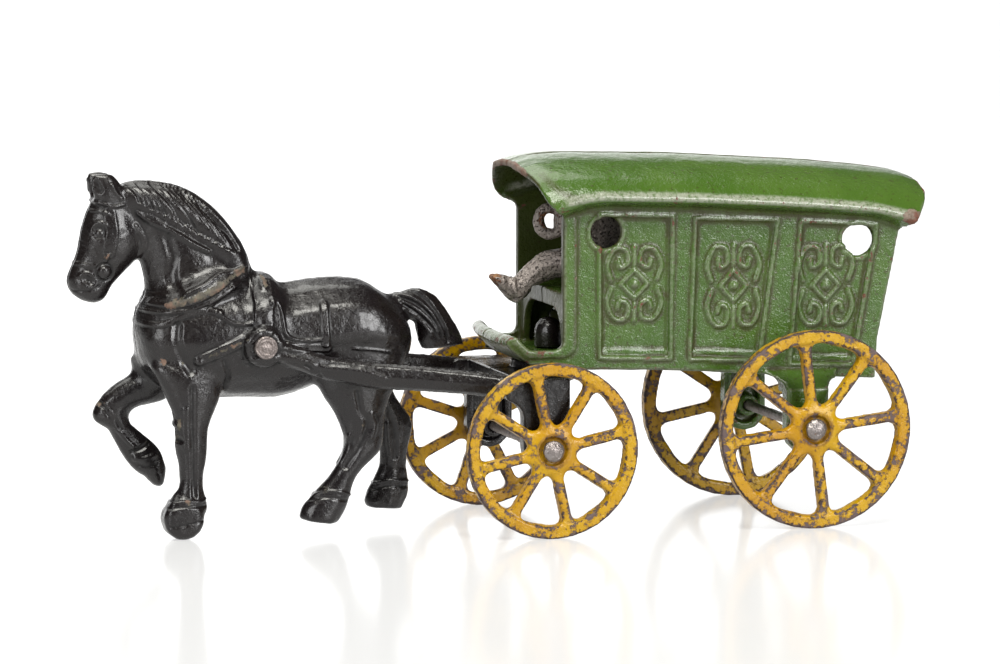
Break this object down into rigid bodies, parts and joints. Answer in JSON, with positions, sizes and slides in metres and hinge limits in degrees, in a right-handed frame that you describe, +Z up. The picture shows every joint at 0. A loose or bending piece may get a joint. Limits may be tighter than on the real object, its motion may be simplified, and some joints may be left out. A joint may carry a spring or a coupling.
{
  "type": "cast iron toy horse carriage",
  "caption": "Toy horse drawn wagon of painted cast iron halves, with a seated driver, steering front gear and turning spoked wheels.",
  "frame": {"origin": "centre of the whole toy's footprint, on the floor that the wheels stand on", "axes": "+Z up; the horse faces -X, so the open rear of the wagon faces +X; the toy's left side faces -Y"},
  "size_m": [0.19, 0.0606, 0.0814],
  "materials": {
    "body_enamel": "worn gloss green enamel",
    "horse_enamel": "gloss black enamel",
    "wheel_enamel": "chipped yellow enamel",
    "driver_finish": "bare iron with traces of dark paint",
    "steel": "tarnished"
  },
  "bodies": {
    "wagon": {"body_half_left": "body_enamel", "body_half_right": "body_enamel", "driver": "driver_finish", "rear_axle": "steel"},
    "front_gear": {"horse_half_left": "horse_enamel", "horse_half_right": "horse_enamel", "horse_rivet": "steel", "front_axle": "steel"},
    "front_left_wheel": {"wheel_front_left": "wheel_enamel"},
    "front_right_wheel": {"wheel_front_right": "wheel_enamel"},
    "rear_left_wheel": {"wheel_rear_left": "wheel_enamel"},
    "rear_right_wheel": {"wheel_rear_right": "wheel_enamel"}
  },
  "joints": [
    {"name": "steer", "type": "hinge", "parent": "wagon", "child": "front_gear", "pos_m": [0.013, 0, 0.036], "axis": [0, 0, 1], "range_deg": [-25, 25]},
    {"name": "front_left_spin", "type": "hinge", "parent": "front_gear", "child": "front_left_wheel", "pos_m": [0.0055, -0.028, 0.019], "axis": [0, 1, 0], "continuous": true},
    {"name": "front_right_spin", "type": "hinge", "parent": "front_gear", "child": "front_right_wheel", "pos_m": [0.0055, 0.028, 0.019], "axis": [0, 1, 0], "continuous": true},
    {"name": "rear_left_spin", "type": "hinge", "parent": "wagon", "child": "rear_left_wheel", "pos_m": [0.0652, -0.028, 0.0217], "axis": [0, 1, 0], "continuous": true},
    {"name": "rear_right_spin", "type": "hinge", "parent": "wagon", "child": "rear_right_wheel", "pos_m": [0.0652, 0.028, 0.0217], "axis": [0, 1, 0], "continuous": true}
  ]
}
